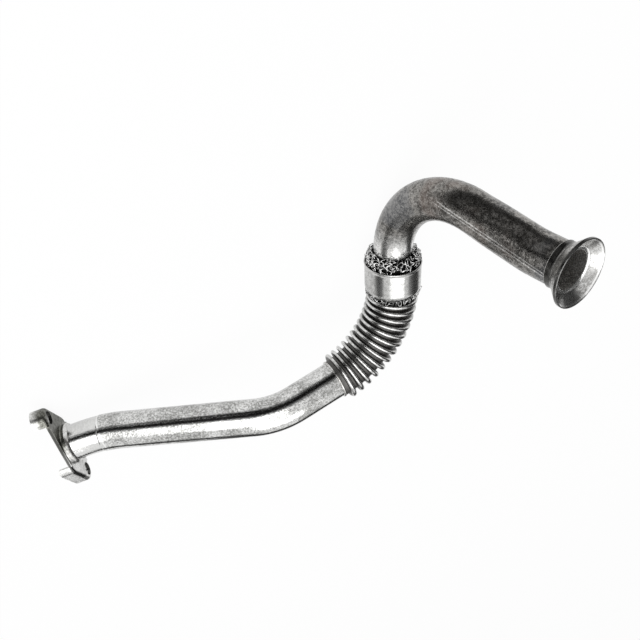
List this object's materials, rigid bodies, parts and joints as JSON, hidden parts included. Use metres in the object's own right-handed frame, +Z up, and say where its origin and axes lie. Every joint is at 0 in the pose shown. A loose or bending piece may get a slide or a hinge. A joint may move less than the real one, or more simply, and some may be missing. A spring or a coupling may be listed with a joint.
{
  "type": "coolant pipe",
  "caption": "Bent steel pipe with a two-bolt pressed flange, a corrugated flexible section, a collar over knitted wire and a flared mouth.",
  "frame": {"origin": "centre of the footprint on the floor, with the pipe lying at rest on a flange lip, the collar and the hook", "axes": "+X along the long straight of the lower tube seen from above, from the flange to the bellows; +Z up"},
  "size_m": [0.3825, 0.2098, 0.1443],
  "materials": {
    "flange_steel": "pressed sheet, satin, darker on the upper lug",
    "weld_steel": "bright bead",
    "lower_tube_steel": "drawn tube, mottled satin",
    "bellows_steel": "bright on the crests, dark in the valleys",
    "knitted_wire": "bright tangled wire over dark gaps",
    "collar_steel": "smooth satin sheet",
    "upper_tube_steel": "drawn tube, heat-tinted grey-brown, mottled",
    "ring_steel": "turned"
  },
  "bodies": {
    "root": {"flange_plate": "flange_steel", "flange_weld": "weld_steel", "lower_tube": "lower_tube_steel", "bellows_lower_weld": "weld_steel", "bellows": "bellows_steel", "bellows_upper_weld": "weld_steel", "mesh_pad": "knitted_wire", "collar": "collar_steel", "upper_tube": "upper_tube_steel", "mouth_ring": "ring_steel", "mouth_braze": "weld_steel"}
  },
  "joints": []
}
